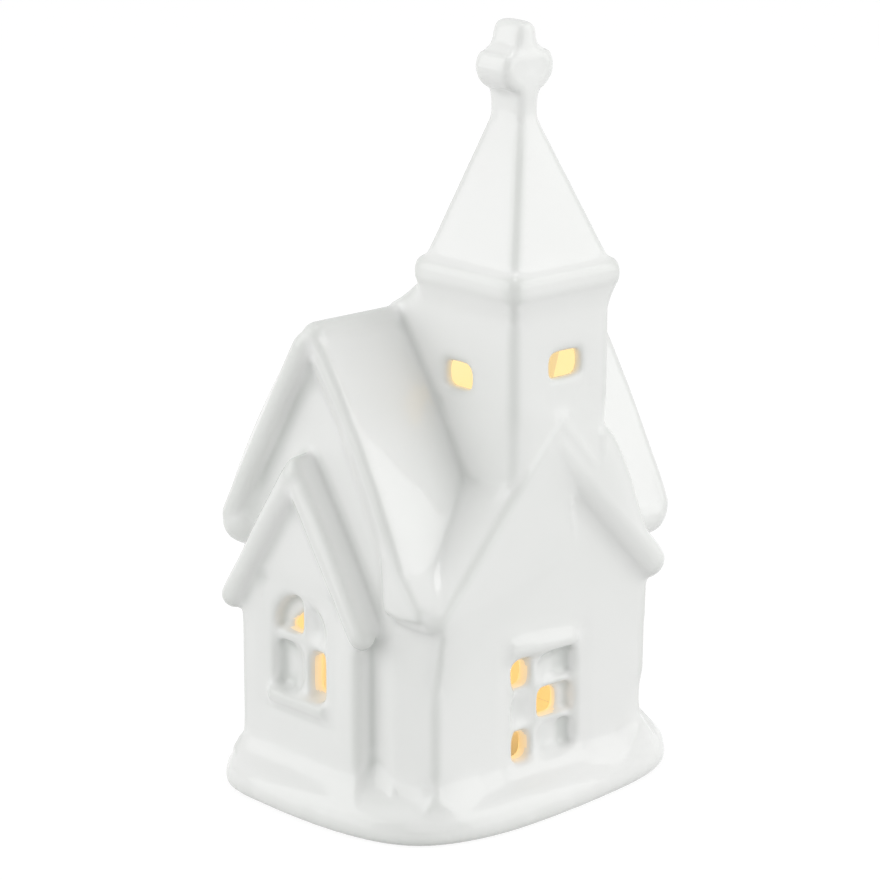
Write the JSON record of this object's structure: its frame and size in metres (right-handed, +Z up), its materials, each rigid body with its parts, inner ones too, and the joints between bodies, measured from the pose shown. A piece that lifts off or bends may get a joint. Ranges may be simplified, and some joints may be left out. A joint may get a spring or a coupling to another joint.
{
  "type": "lit ceramic village house",
  "caption": "White glazed ceramic church with a steeple, side porch and pierced windows, hollow and lit from below by a pull-out battery lamp in its floor.",
  "frame": {"origin": "on the table, under the middle of the base", "axes": "+Z up along the steeple, -Y out of the facade with the oblong window, -X out of the side porch"},
  "size_m": [0.0967, 0.0768, 0.177],
  "materials": {
    "glaze": "gloss",
    "soft_ring": "matte",
    "housing_plastic": "satin",
    "cap_plastic": "satin",
    "screw_steel": "satin",
    "cell_steel": "satin",
    "contact_metal": "gloss",
    "lead_metal": "satin",
    "board": "satin",
    "lamp": "gloss",
    "resistor_body": "matte",
    "switch_steel": "satin",
    "slider_plastic": "matte"
  },
  "bodies": {
    "house": {"house_shell": "glaze"},
    "light_unit": {"retaining_ring": "soft_ring", "light_housing": "housing_plastic", "housing_base": "housing_plastic", "housing_screws": "screw_steel", "coin_cell": "cell_steel", "positive_contact": "contact_metal", "negative_contact": "contact_metal", "circuit_board": "board", "led_lamp": "lamp", "led_leads": "lead_metal", "resistor": "resistor_body", "switch_frame": "switch_steel", "switch_terminals": "lead_metal"},
    "cap": {"battery_cap": "cap_plastic"},
    "slider": {"switch_slider": "slider_plastic", "switch_wiper": "contact_metal"}
  },
  "joints": [
    {"name": "light_unit_pull", "type": "slide", "parent": "house", "child": "light_unit", "axis": [0, 0, -1], "range_m": [0, 0.02]},
    {"name": "cap_twist", "type": "hinge", "parent": "light_unit", "child": "cap", "pos_m": [-0.0032, 0, 0.0012], "axis": [0, 0, 1], "range_deg": [0, 40]},
    {"name": "switch_slide", "type": "slide", "parent": "light_unit", "child": "slider", "axis": [0, -1, 0], "range_m": [0, 0.002]}
  ]
}
